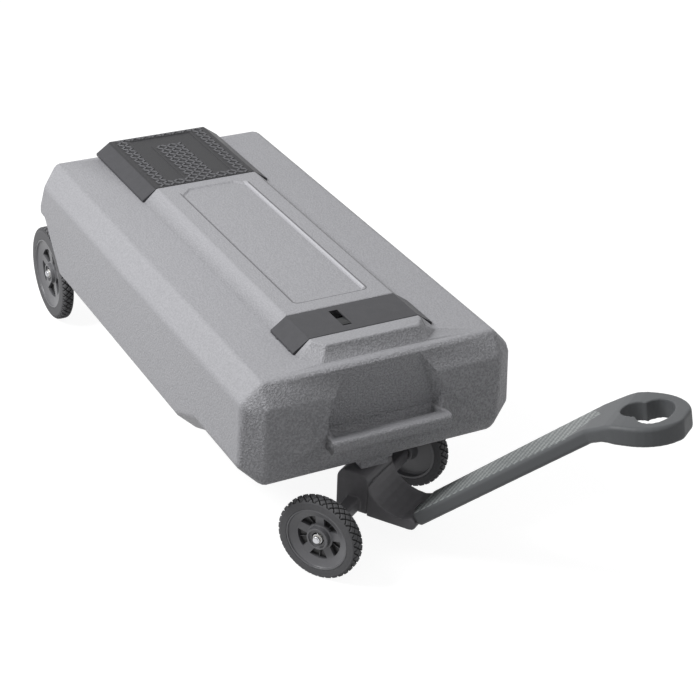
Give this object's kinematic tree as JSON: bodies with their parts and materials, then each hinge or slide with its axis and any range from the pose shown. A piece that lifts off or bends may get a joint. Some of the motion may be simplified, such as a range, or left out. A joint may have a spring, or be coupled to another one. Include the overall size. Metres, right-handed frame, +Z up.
{
  "type": "portable waste water tank",
  "caption": "Wheeled waste water tank with a steered front axle, hinged tow bar, float level gauge and a waste port under a hinged step.",
  "frame": {"origin": "middle of the tank's flat underside", "axes": "-Y to the front, where the tow bar is; +X to the tank's right seen from the front camera; +Z up"},
  "size_m": [0.7034, 1.7997, 0.4718],
  "materials": {
    "tank_polyethylene": "light grey rotomoulded polyethylene, pebble textured",
    "cover_plastic": "charcoal moulded plastic, fine matt grain",
    "tow_plastic": "dark grey moulded plastic with a tread grain on its top",
    "carrier_plastic": "black glass-filled plastic, satin",
    "rim_plastic": "dark grey moulded plastic, satin",
    "tyre_rubber": "black rubber, matt",
    "seal_rubber": "black rubber, matt",
    "port_plastic": "black moulded plastic, satin",
    "float_plastic": "natural polyethylene, matt",
    "flag_plastic": "light grey moulded plastic, satin",
    "bush_nylon": "natural nylon, satin",
    "zinc_steel": "zinc plated steel"
  },
  "bodies": {
    "tank": {"tank_body": "tank_polyethylene", "gauge_cover": "cover_plastic", "gauge_seal": "seal_rubber", "gauge_housing": "port_plastic", "float_pin": "zinc_steel", "lid_hinge_left": "zinc_steel", "lid_hinge_right": "zinc_steel", "lid_hinge_screw_left": "zinc_steel", "lid_hinge_screw_right": "zinc_steel", "lid_pin_left": "zinc_steel", "lid_pin_right": "zinc_steel", "port_seal": "seal_rubber", "port_neck": "port_plastic", "pivot_block": "tank_polyethylene", "pivot_bolt_1": "zinc_steel", "pivot_bolt_2": "zinc_steel", "pivot_bolt_3": "zinc_steel", "pivot_bolt_4": "zinc_steel", "pivot_washer": "bush_nylon", "kingpin": "zinc_steel", "rear_axle": "zinc_steel", "axle_bracket_left": "zinc_steel", "axle_bracket_right": "zinc_steel", "bracket_bolt_left": "zinc_steel", "bracket_bolt_right": "zinc_steel", "axle_spacer_left": "port_plastic", "axle_spacer_right": "port_plastic"},
    "steering": {"axle_carrier": "carrier_plastic", "kingpin_nut": "zinc_steel", "front_axle": "zinc_steel", "tow_tongue": "carrier_plastic", "tongue_bolt_left": "zinc_steel", "tongue_bolt_right": "zinc_steel", "tow_pin": "zinc_steel", "tow_pin_clip": "zinc_steel"},
    "tow_handle": {"tow_bar": "tow_plastic"},
    "step_lid": {"step_cover": "cover_plastic"},
    "cap": {"port_cap": "port_plastic"},
    "float": {"float_arm": "port_plastic", "float_bulb": "float_plastic"},
    "flag": {"level_flag": "flag_plastic"},
    "front_left_wheel": {"front_left_rim": "rim_plastic", "front_left_tyre": "tyre_rubber", "front_left_bush": "bush_nylon", "front_left_push_nut": "zinc_steel"},
    "front_right_wheel": {"front_right_rim": "rim_plastic", "front_right_tyre": "tyre_rubber", "front_right_bush": "bush_nylon", "front_right_push_nut": "zinc_steel"},
    "rear_left_wheel": {"rear_left_rim": "rim_plastic", "rear_left_tyre": "tyre_rubber", "rear_left_bush": "bush_nylon", "rear_left_push_nut": "zinc_steel"},
    "rear_right_wheel": {"rear_right_rim": "rim_plastic", "rear_right_tyre": "tyre_rubber", "rear_right_bush": "bush_nylon", "rear_right_push_nut": "zinc_steel"}
  },
  "joints": [
    {"name": "steering_pivot", "type": "hinge", "parent": "tank", "child": "steering", "pos_m": [0, -0.534, 0], "axis": [0, 0, 1], "range_deg": [-74, 6]},
    {"name": "tow_handle_hinge", "type": "hinge", "parent": "steering", "child": "tow_handle", "pos_m": [0.07102, -0.63929, -0.0741], "axis": [-0.829, -0.5592, 0], "range_deg": [0, 30]},
    {"name": "step_lid_hinge", "type": "hinge", "parent": "tank", "child": "step_lid", "pos_m": [0, 0.5705, 0.2712], "axis": [-1, 0, 0], "range_deg": [0, 100]},
    {"name": "port_cap_turn", "type": "hinge", "parent": "tank", "child": "cap", "pos_m": [0, 0.41, 0.2], "axis": [0, 0, 1], "range_deg": [0, 40]},
    {"name": "float_hinge", "type": "hinge", "parent": "tank", "child": "float", "pos_m": [-0.026, -0.444, 0.255], "axis": [-1, 0, 0], "range_deg": [0, 60]},
    {"name": "flag_slide", "type": "slide", "parent": "tank", "child": "flag", "axis": [0, 1, 0], "range_m": [0, 0.0246]},
    {"name": "front_left_wheel_axle", "type": "hinge", "parent": "steering", "child": "front_left_wheel", "pos_m": [-0.15959, -0.64165, -0.066], "axis": [0.829, 0.5592, 0], "continuous": true},
    {"name": "front_right_wheel_axle", "type": "hinge", "parent": "steering", "child": "front_right_wheel", "pos_m": [0.15959, -0.42635, -0.066], "axis": [0.829, 0.5592, 0], "continuous": true},
    {"name": "rear_left_wheel_axle", "type": "hinge", "parent": "tank", "child": "rear_left_wheel", "pos_m": [-0.263, 0.6, -0.041], "axis": [1, 0, 0], "continuous": true},
    {"name": "rear_right_wheel_axle", "type": "hinge", "parent": "tank", "child": "rear_right_wheel", "pos_m": [0.263, 0.6, -0.041], "axis": [1, 0, 0], "continuous": true}
  ],
  "couplings": [
    {"joint": "flag_slide", "follows": "float_hinge", "m_per_rad": 0.023396}
  ]
}
